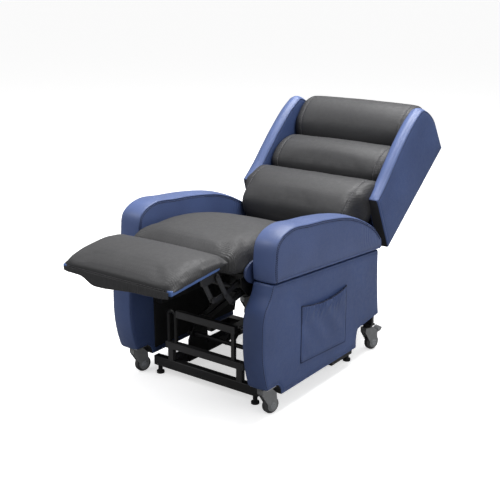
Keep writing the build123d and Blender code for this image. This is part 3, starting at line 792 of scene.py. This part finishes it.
ARM_SEAM = [(-668, 520), (-671, 592), (-655, 660), (-623, 683), (-577, 696), (-453, 689), (-322, 677),
            (-143, 643), (-42, 603), (50, 547), (84, 514)]


def seam_lines(points, inset, x):
    """A side-view line moved into its outline by inset, at one X, as model points."""
    line = smooth(points, 5.0)
    along = np.gradient(line, axis=0)
    normal = np.column_stack([along[:, 1], -along[:, 0]])
    normal /= np.linalg.norm(normal, axis=1)[:, None]
    return np.array([list(point(x, *p)) for p in line + normal * inset])


def make_arm_pad(name, side):
    x0, x1 = sided(side, INNER_X, ARM_OUTER_X)
    crown = outward(side, 2.0, 5.0)
    # The arm takes the lighter copy of the blue vinyl: painted light.
    arm = slab("upholstered_" + name, arm_spans(), x0, x1, 11.0, crown, (8.5, 2.4, 3.0), ["arm"])
    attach(arm, "chassis")
    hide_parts(name)
    lines = []
    for x in (x0, x1):
        lines.append(seam_lines(ARM_SEAM, 5.0, x))
        lines.append(seam_lines(ARM_SEAM, 12.0, x))
    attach(thread(name + "_stitches", arm, lines, "thread_blue",
                   pitch=8.0, length=6.4, radius=1.1), "chassis")
    return arm


# ---- back ---------------------------------------------------------------------------------
WING_X = (300.0, 355.0)
SHELL_HALF = 299.5
WING_FRONT = [(60, 236), (149, 243), (248, 261), (346, 277), (521, 281), (551, 275), (573, 251),
              (598, 189), (603, 133)]
TOE_IN, TOE_DEPTH = 15.0, 260.0     # the wings lean inwards towards their front edges
FRONT_TRIM = 0.945                  # the padded edge stands a little behind the frame's outline


def toed_in(wing, side):
    """Leans a wing's front edge inwards."""
    places = coords(wing)
    out = across_back(places)
    places[:, 0] -= side * TOE_IN * MM * np.clip(out / TOE_DEPTH, 0, 1)
    set_coords(wing, places)


def trimmed(pairs):
    return [(u, v * FRONT_TRIM) for u, v in pairs]


def wing_spans():
    rim = 9.0
    return [
        (on_back(trimmed([(0, 0), (60, 236)])), 5.0, 0.0, 1),
        (on_back(trimmed(WING_FRONT)), rim, 7.0, 2),
        (on_back(trimmed([(603, 133), (585, 0)])), rim, 3.0, 0),
        (on_back([(585, 0), (0, 0)]), 6.0, 1.0, 0),
    ]


def make_wing(name, side):
    x0, x1 = sided(side, *WING_X)
    crown = outward(side, 2.0, 5.0)
    # The wing's front strip wall, material 2, takes the lighter copy of the blue vinyl: painted light.
    wing = slab("upholstered_" + name, wing_spans(), x0, x1, 12.0, crown, (10.0, 1.6, 4.0),
                ["blue", "lining", "strip"])
    toed_in(wing, side)
    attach(wing, "back")
    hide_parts(name)
    seam = on_back(trimmed(WING_FRONT))
    lines = [seam_lines(seam, 6.0, x - side * TOE_IN) for x in (x0, x1)]
    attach(thread(name + "_stitches", wing, lines, "thread_blue",
                   pitch=8.0, length=6.0, radius=1.0), "back")
    return wing


def make_back_shell():
    rim = 11.0
    spans = [
        (on_back([(5, 4), (5, 77)]), rim, 0.0, 0),
        (on_back([(5, 77), (600, 77)]), 4.0, 0.0, 0),
        (on_back([(600, 77), (600, 4)]), rim, 2.0, 0),
        (on_back([(600, 4), (5, 4)]), rim, 7.0, 0),
    ]
    shell = slab("upholstered_back_shell", spans, -SHELL_HALF, SHELL_HALF, 16.0, (0, 0), None, ["blue"])
    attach(shell, "back")
    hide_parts("back_shell")
    return shell


ROLLS = {
    # name: (half width, front profile, end rim, inset of the sewn line at the roll's foot and top)
    "back_roll_upper": (294.0, [(418, 77), (421, 168), (452, 211), (512, 233), (583, 231), (636, 200),
                                (658, 145), (655, 100), (645, 77)], 40.0, (50.0, 40.0)),
    "back_roll_middle": (294.0, [(190, 81), (190, 160), (205, 208), (250, 228), (305, 228), (356, 211),
                                 (402, 176), (415, 130), (415, 77)], 40.0, (52.0, 46.0)),
    "back_roll_lower": (263.0, [(-101, 84), (-106, 160), (-98, 222), (-76, 258), (-35, 278), (35, 276),
                                (100, 261), (148, 238), (177, 203), (186, 150), (187, 82)],
                        24.0, (16.0, 8.0)),
}
# Faces turned towards the side take the darker charcoal as painted shade.
GUSSET_TURN = 0.80      # faces turned this far towards the side belong to a roll's end


def make_roll(name):
    half, profile, rim, _ = ROLLS[name]
    front = on_back(profile)
    spans = [(front, rim, 5.0, 0), (np.array([front[-1], front[0]]), 10.0, 0.0, 0)]
    # A roll takes darker copies of the charcoal vinyl, its ends darker still: painted shade.
    roll = slab("cushion_" + name, spans, -half, half, 14.0, (0, 0), None, ["roll", "gusset"])
    remeshed(roll, 6.0)
    if name == "back_roll_lower":
        spread_over_arms(roll)
    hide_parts(name)
    return roll


ARM_TOP = [(-577, 696), (-453, 689), (-322, 677), (-143, 643), (-42, 603), (50, 547), (84, 514)]
SPREAD, SPREAD_FROM, SPREAD_FULL = 0.13, 8.0, 80.0
BACK_PIVOT, SEAT_PIVOT = (-60.0, 470.0), (-100.0, 405.0)
SEAT_BACK_TURNS = [(0, 0), (4, 16), (8, 32), (0, 32), (8, 0)]   # seat tilt and back turn, in degrees


def turned_about(pivot, degrees, y, z):
    cos, sin = math.cos(math.radians(degrees)), math.sin(math.radians(degrees))
    y, z = y - pivot[0], z - pivot[1]
    return pivot[0] + y * cos - z * sin, pivot[1] + y * sin + z * cos


def spread_over_arms(roll):
    """Lets the lower roll's ends bulge outwards where they clear the arms at every turn of the back."""
    places = coords(roll)
    y, z = places[:, 1] / MM - ORIGIN_Y / MM, places[:, 2] / MM
    line = np.array(ARM_TOP, float)
    above = np.full(len(y), np.inf)
    for tilt, turn in SEAT_BACK_TURNS:
        ty, tz = turned_about(SEAT_PIVOT, tilt, *turned_about(BACK_PIVOT, turn, y, z))
        above = np.minimum(above, tz - np.interp(ty, line[:, 0], line[:, 1]))
    share = np.clip((above - SPREAD_FROM) / (SPREAD_FULL - SPREAD_FROM), 0, 1)
    moves = np.zeros_like(places)
    moves[:, 0] = places[:, 0] * SPREAD * share * share * (3 - 2 * share)
    set_coords(roll, places + evened(roll, moves))


def shade_roll_ends(name, roll):
    """Gives the faces beyond a roll's sewn lines, and the faces turned towards the side, the darker end
    material: painted shade on the roll's ends.
    """
    half, _, _, insets = ROLLS[name]
    mesh = roll.data
    turned = np.empty(len(mesh.polygons) * 3, np.float32)
    centre = np.empty(len(mesh.polygons) * 3, np.float32)
    mesh.polygons.foreach_get("normal", turned)
    mesh.polygons.foreach_get("center", centre)
    beyond = np.abs(centre.reshape(-1, 3)[:, 0]) > (half - min(insets)) * MM
    ends = beyond | (np.abs(turned.reshape(-1, 3)[:, 0]) > GUSSET_TURN)
    mesh.polygons.foreach_set("material_index", ends.astype(int))


def across_back(places):
    """How far places stand out of the back's rear plane, in millimetres."""
    drawn = (places / MM)[:, 1:] - np.array([ORIGIN_Y / MM, 0])
    normal = np.array([-math.sin(BACK_ANGLE), math.cos(BACK_ANGLE)])
    return (drawn - np.array(BACK_CORNER)) @ normal


def roll_seams(name, roll):
    """The sewn line round each end of a roll, on its front."""
    half, profile, _, (low_inset, high_inset) = ROLLS[name]
    outline = smooth(on_back(profile), 5.0)
    middle = outline.mean(axis=0)
    tree = tree_of(roll)
    lines = []
    for side in (-1, 1):
        line = []
        for i, place in enumerate(outline):
            share = i / (len(outline) - 1)
            x = side * (half - low_inset - (high_inset - low_inset) * share)
            away = place - middle
            start = point(x, *(place + away / np.linalg.norm(away) * 60))
            direction = (point(x, *middle) - start).normalized()
            hit = tree.ray_cast(start, direction, 0.4)[0]
            if hit is not None:
                line.append(list(hit))
        lines.append(np.array(line))
    return lines


# ---- seat and legrest ---------------------------------------------------------------------
SEAT_HALF, PAD_HALF = 248.0, 256.0


def make_seat_cushion():
    top = [(-758, 560), (-766, 585), (-758, 608), (-735, 624), (-640, 640), (-510, 641), (-318, 608),
           (-150, 552), (-90, 530)]
    spans = [
        (top, 46.0, 7.0, 0),
        ([(-90, 530), (-84, 510), (-81, 494)], 12.0, 0.0, 0),
        ([(-81, 494), (-700, 539)], 10.0, 0.0, 0),
        ([(-700, 539), (-735, 543), (-758, 560)], 30.0, 2.0, 0),
    ]
    seat = slab("cushion_seat", [(s, r, b, m) for s, r, b, m in spans], -SEAT_HALF, SEAT_HALF, 14.0,
                (0, 0), None, ["seat"])
    remeshed(seat, 6.0)
    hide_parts("seat_cushion")
    return seat


PAD_DROP = 11.0     # the pad's skirt comes down over the board's edges


def make_legrest_pad():
    spans = [
        ([(-1085, 578), (-1082, 598), (-1066, 612), (-1019, 629), (-945, 641), (-870, 644), (-805, 632),
          (-781, 615), (-780, 602)], 50.0, 3.0, 0),
        ([(-780, 602), (-830, 610 - PAD_DROP), (-1083, 586 - PAD_DROP)], 6.0, 0.0, 0),
        ([(-1083, 586 - PAD_DROP), (-1085, 578)], 6.0, 0.0, 0),
    ]
    pad = slab("cushion_legrest", spans, -PAD_HALF, PAD_HALF, 14.0, (0, 0), None, ["pad", "gusset"])
    remeshed(pad, 6.0)
    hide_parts("legrest_pad")
    return pad


def make_legrest_board():
    """The legrest's board, wrapped in blue vinyl; its edges show below the pad."""
    spans = [
        ([(-1081, 584), (-1081, 566)], 3.5, 0.5, 0),
        ([(-1081, 566), (-830, 590)], 3.5, 0.0, 0),
        ([(-830, 590), (-831, 608)], 3.5, 0.5, 0),
        ([(-831, 608), (-1081, 584)], 3.5, 0.0, 0),
    ]
    board = slab("wrapped_legrest_board", spans, -250.0, 250.0, 12.0, (0.5, 0.5), None, ["board"])
    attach(board, "legrest_board")
    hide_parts("legrest_board")


FLAP_EDGE = [(-239, 566), (-225, 563), (-190, 562), (-153, 558), (-108, 538), (-40, 536), (20, 543),
             (60, 547), (160, 552), (225, 556), (240, 560)]
SKIRT_TOP, SKIRT_FRONT_Y = 580.0, -1086.2


def make_legrest_flap():
    """The loose pleated skirt that hangs from the pad's front seam, with a hem."""
    edge = smooth(FLAP_EDGE, 3.5)
    rows = 11
    mesh = bmesh.new()
    grid, hem = [], []
    for k in range(rows):
        share = k / (rows - 1)
        line = []
        for x, low in edge:
            wave = 0.9 * math.sin(x / 19.0) + 0.4 * math.sin(x / 7.5 + 1.3)
            place = (x, SKIRT_FRONT_Y - wave * share - 1.2 * math.sin(math.pi * share),
                     SKIRT_TOP + (low - SKIRT_TOP) * share)
            line.append(mesh.verts.new(point(*place)))
            if k == rows - 1:
                hem.append(place)
        grid.append(line)
    for a, b in zip(grid[:-1], grid[1:]):
        for i in range(len(a) - 1):
            mesh.faces.new([a[i], b[i], b[i + 1], a[i + 1]])
    # The skirt and its hem take the darker copy of the charcoal vinyl: painted shade.
    flap = finished("skirt_legrest", mesh, ["skirt"])
    thicken(flap, 1.2)
    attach(flap, "legrest_board")
    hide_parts("legrest_flap")
    piping = tube("skirt_hem", hem, 1.1, "gusset")
    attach(piping, "legrest_board")


# The pad's faces turned towards the feet take the darker charcoal: painted shade on the pad's front.
FRONT_TURN = 0.55       # pad faces turned this far towards the feet are the darker front strip


def shade_pad_front(pad):
    turned = np.empty(len(pad.data.polygons) * 3, np.float32)
    pad.data.polygons.foreach_get("normal", turned)
    front = -turned.reshape(-1, 3)[:, Y] > FRONT_TURN
    pad.data.polygons.foreach_set("material_index", front.astype(int))


def stitch_pad_front(pad):
    """The light stitching along the pad's front seam."""
    x = np.linspace(-PAD_HALF + 10, PAD_HALF - 10, 80)
    line = np.array([list(point(value, -1090.0, 583.0)) for value in x])
    carve(pad, [line + np.array([0, 0.005, 0])], 1.5, 3.0)
    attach(thread("legrest_pad_stitches", pad, [line], "thread_grey",
                   pitch=6.0, length=4.2, radius=0.8), "legrest_board")


def thicken(obj, thickness):
    made = obj.modifiers.new("thickness", "SOLIDIFY")
    made.thickness = thickness * MM
    made.offset = 0
    applied(obj)


def make_seat_deck_and_cheeks():
    for side_name, side in SIDES.items():
        x0, x1 = sided(side, 250.2, 261.8)
        rim = 5.6
        spans = [
            ([(-697, 558), (-702, 540), (-686, 512), (-640, 492)], rim, 0.5, 0),
            ([(-640, 492), (-100, 454)], rim, 0.0, 0),
            ([(-100, 454), (-95, 528)], rim, 0.0, 0),
            ([(-95, 528), (-160, 545), (-600, 579), (-670, 575), (-697, 558)], rim, 0.5, 0),
        ]
        # Each cheek takes the darker copy of the blue vinyl: painted shade under the cushion.
        cheek = slab("seat_cheek_" + side_name, spans, x0, x1, 14.0, (0, 0), (8.0, 0.8, 3.0), ["cheek"])
        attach(cheek, "seat")
        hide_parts("seat_cheeks")


# ---- pocket -------------------------------------------------------------------------------
POCKET_FRONT, POCKET_REAR = -495.0, -175.0
POCKET_GATHERS = 19


def pocket_place(s, t):
    """A point of the pocket: s from its front to its rear edge, t from the mouth down."""
    mouth = 383 + (376 - 383) * s - 15 * math.sin(math.pi * s)
    foot = 157 + (137 - 157) * s
    y = POCKET_FRONT + (POCKET_REAR - POCKET_FRONT) * s
    z = mouth + (foot - mouth) * t
    held = math.sin(math.pi * s) ** 0.5
    slack = 12.0 * math.exp(-(t / 0.2) ** 2) * held + 3.5 * math.sin(math.pi * t) * held
    phase = 2 * math.pi * (POCKET_GATHERS * s + 0.6 * math.sin(7 * s) + 0.5 * math.sin(17 * s))
    gather = 4.2 * math.sin(phase) * math.exp(-((t - 0.035) / 0.07) ** 2) * held
    lean = 3.0 * math.sin(phase / 2 + 1.0 + 5 * t) * math.exp(-((t - 0.12) / 0.12) ** 2) * held
    wave = math.sin(2 * math.pi * (2.6 * s - 1.5 * t) + 0.8)
    fold = 2.6 * wave * math.exp(-((t - 0.42) / 0.32) ** 2) * held
    edge = min(1.0, (1 - t) / 0.06)
    side = min(1.0, 26 * s, 26 * (1 - s))
    return OUTER_X + 4.2 + (1.6 + slack + gather + lean + fold) * edge * side, y, z


def make_pocket():
    across, down = 120, 50
    mesh = bmesh.new()
    grid = [[mesh.verts.new(point(*pocket_place(i / across, k / down))) for i in range(across + 1)]
            for k in range(down + 1)]
    for a, b in zip(grid[:-1], grid[1:]):
        for i in range(across):
            mesh.faces.new([a[i], b[i], b[i + 1], a[i + 1]])
    pocket = finished("gathered_side_pocket", mesh, ["blue"])
    thicken(pocket, 1.4)
    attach(pocket, "chassis")
    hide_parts("side_pocket")
    binding = tube("pocket_elastic_binding",
                   [pocket_place(i / across, 0.0) for i in range(across + 1)], 1.8, "thread_blue")
    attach(binding, "chassis")
    # A dark cord round the pocket's sides and foot: the seam's piping, and a painted shadow line along that
    # seam.
    border = [pocket_place(0.0, t) for t in np.linspace(0, 1, 50)]
    border += [pocket_place(s, 1.0) for s in np.linspace(0.02, 0.98, 70)]
    border += [pocket_place(1.0, t) for t in np.linspace(1, 0, 50)]
    piping = tube("pocket_piping_and_painted_shadow_line", border, 1.5, "thread_blue")
    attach(piping, "chassis")
    sides = [[pocket_place(s, t) for t in np.linspace(0.02, 0.99, 40)] for s in (0.012, 0.988)]
    foot = [[pocket_place(s, 0.985) for s in np.linspace(0.02, 0.98, 60)]]
    lines = [np.array([list(point(*p)) for p in line]) for line in sides + foot]
    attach(thread("pocket_stitches", pocket, lines, "thread_blue"), "chassis")


def tube(name, places, radius, material, sides=8):
    """A round cord of one radius along drawing points."""
    line = [point(*p) for p in places]
    mesh = bmesh.new()
    rings = []
    for i, place in enumerate(line):
        z = (line[min(i + 1, len(line) - 1)] - line[max(i - 1, 0)]).normalized()
        x = z.orthogonal().normalized() if i == 0 else (previous - z * previous.dot(z)).normalized()
        previous = x
        y = z.cross(x)
        rings.append([mesh.verts.new(place + (x * math.cos(a) + y * math.sin(a)) * radius * MM)
                      for a in (2 * math.pi * k / sides for k in range(sides))])
    for low, high in zip(rings[:-1], rings[1:]):
        for k in range(sides):
            mesh.faces.new([low[k], low[(k + 1) % sides], high[(k + 1) % sides], high[k]])
    mesh.faces.new(rings[0][::-1])
    mesh.faces.new(rings[-1])
    return finished(name, mesh, [material])


# ---- CAD nodes that keep their shape ------------------------------------------------------
CASTOR_HEADING = math.radians(-18.0)
NODE_MATERIALS = {
    "frame": ["base_side_rails", "base_front_bar", "base_rear_bar", "base_outriggers", "base_posts",
              "base_cross_bars", "base_hoop", "lift_pivot_plates", "chassis_rails", "chassis_cross_tube",
              "seat_side_plates", "seat_cross_tubes", "back_plates", "rear_castor_brackets"],
    "link": ["lift_front_link", "lift_rear_link", "legrest_cross_link", "legrest_long_links",
             "legrest_front_links", "legrest_rear_links", "legrest_brackets"],
    "rubber": ["base_feet"],
    "motor": ["lift_motor", "back_motor", "legrest_motor", "tilt_motor"],
    "steel": ["lift_rod", "back_rod", "legrest_rod", "tilt_rod"],
    "zinc": ["front_castor_plates"],
    "lining": ["inner_linings", "seat_deck"],
    "castor": ["castor_fork_fl", "castor_fork_fr", "castor_fork_rl", "castor_fork_rr"],
    "tyre": ["castor_wheel_fl", "castor_wheel_fr", "castor_wheel_rl", "castor_wheel_rr"],
    "pedal": ["brake_pedal_rl", "brake_pedal_rr"],
}


def dress_nodes():
    for material, names in NODE_MATERIALS.items():
        for name in names:
            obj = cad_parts[name]
            obj.data.materials.clear()
            obj.data.materials.append(MATERIALS[material])
            obj.data.polygons.foreach_set("material_index", np.zeros(len(obj.data.polygons), int))


HUB_R = 21.5


def dress_wheels():
    """Dark tyres with lighter hubs, told apart by distance from the axle."""
    axle = Vector((math.cos(CASTOR_HEADING), math.sin(CASTOR_HEADING), 0))
    for name in NODE_MATERIALS["tyre"]:
        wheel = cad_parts[name]
        wheel.data.materials.append(MATERIALS["hub"])
        low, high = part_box(name)
        middle = (Vector(low) + Vector(high)) / 2
        place = wheel.matrix_world
        for face in wheel.data.polygons:
            offset = place @ face.center - middle
            out = (offset - axle * offset.dot(axle)).length
            face.material_index = 1 if out < HUB_R * MM else 0


CAP_PROFILE = [(0.0, 2.6), (5.0, 2.6), (6.0, 1.8), (7.5, 1.8), (8.5, 3.0), (12.0, 3.0), (14.0, 0.0)]
CAP_SIDES = 40
FORK_HALF = 17.0


def make_axle_caps():
    """A stepped cap over each end of every castor's axle."""
    axle = Vector((math.cos(CASTOR_HEADING), math.sin(CASTOR_HEADING), 0))
    across = Vector((0, 0, 1)).cross(axle)
    for name in ("fl", "fr", "rl", "rr"):
        low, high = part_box("castor_wheel_" + name)
        middle = (Vector(low) + Vector(high)) / 2
        mesh = bmesh.new()
        for side in (-1, 1):
            rings = []
            for radius, out in CAP_PROFILE:
                centre = middle + axle * side * (FORK_HALF + out) * MM
                ring = [2 * math.pi * k / CAP_SIDES for k in range(CAP_SIDES)]
                rings.append([mesh.verts.new(centre + (across * math.cos(a) + Vector((0, 0, math.sin(a))))
                                             * max(radius, 0.05) * MM) for a in ring])
            for a, b in zip(rings[:-1], rings[1:]):
                for k in range(CAP_SIDES):
                    j = (k + 1) % CAP_SIDES
                    mesh.faces.new([a[k], a[j], b[j], b[k]])
            mesh.faces.new(rings[0])
            mesh.faces.new(rings[-1])
        bmesh.ops.recalc_face_normals(mesh, faces=mesh.faces)
        caps = finished("axle_caps_" + name, mesh, ["hub"])
        caps.data.shade_flat()
        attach(caps, "castor_" + name)


REAR_EDGE = [(86, 455), (93, 300), (108, 170)]
COVER_HALF, COVER_TOP, COVER_FOOT = 350.0, 394.0, 191.0


def cover_place(x, t):
    """A point of the rear cover, t from its top down; it bellies out at half height."""
    z = COVER_TOP + (COVER_FOOT - COVER_TOP) * t
    edge = np.array(REAR_EDGE[::-1], float)
    y = float(np.interp(z, edge[:, 1], edge[:, 0]))
    belly = 9.0 * math.exp(-((z - 262) / 38) ** 2)
    folds = 1.4 * math.sin(x / 41 + 2.2 * t) + 0.8 * math.sin(x / 17 - 3 * t)
    return x, y + 2.2 + belly + folds * math.sin(math.pi * t), z


def make_rear_cover():
    """Thin black cloth over the open back of the chassis."""
    across, down = 150, 40
    mesh = bmesh.new()
    grid = [[mesh.verts.new(point(*cover_place(COVER_HALF * (2 * i / across - 1), k / down)))
             for i in range(across + 1)] for k in range(down + 1)]
    for a, b in zip(grid[:-1], grid[1:]):
        for i in range(across):
            mesh.faces.new([a[i], b[i], b[i + 1], a[i + 1]])
    cover = finished("rear_cover_cloth", mesh, ["lining"])
    thicken(cover, 1.2)
    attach(cover, "chassis")
    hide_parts("rear_lining")


# ---- assembly -----------------------------------------------------------------------------
def main():
    make_camera()
    make_studio()
    dress_nodes()
    dress_wheels()
    make_axle_caps()
    for name, side in SIDES.items():
        make_side_panel("side_panel_" + name, side)
        make_arm_pad("arm_pad_" + name, side)
        make_wing("wing_" + name, side)
    make_back_shell()
    rolls = {name: make_roll(name) for name in ROLLS}
    seat = make_seat_cushion()
    pad = make_legrest_pad()
    pads = []
    for name, roll in rolls.items():
        held = np.clip((ROLL_FREE - across_back(coords(roll))) / ROLL_FADE, 0, 1)
        pads.append((roll, held, PRESSURE, CUSHION_CAP))
    drawn = coords(seat) / MM
    under = -np.array(drawn[:, 2]) + 560 - (drawn[:, 1] - ORIGIN_Y / MM + 700) * 0.0729
    pads.append((seat, np.clip(under / SEAT_FADE, 0, 1), PRESSURE, CUSHION_CAP))
    drawn = coords(pad) / MM
    rise = drawn[:, 2] - (590 + (drawn[:, 1] - ORIGIN_Y / MM + 1076) * 0.0894)
    pads.append((pad, np.clip(1 - rise / PAD_FADE, 0, 1), PRESSURE, PAD_CAP))
    puff(pads)
    for name, roll in rolls.items():
        lines = roll_seams(name, roll)
        carve(roll, lines, 3.5, 4.0)
        subdivided(roll)
        shade_roll_ends(name, roll)
        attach(roll, "back")
        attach(thread(name + "_stitches", roll, lines, "thread_grey",
                       pitch=6.0, length=4.4, radius=0.9), "back")
    for cushion, body in ((seat, "seat"), (pad, "legrest_board")):
        subdivided(cushion)
        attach(cushion, body)
    shade_pad_front(pad)
    stitch_pad_front(pad)
    make_legrest_board()
    make_legrest_flap()
    make_seat_deck_and_cheeks()
    make_pocket()
    make_rear_cover()


main()
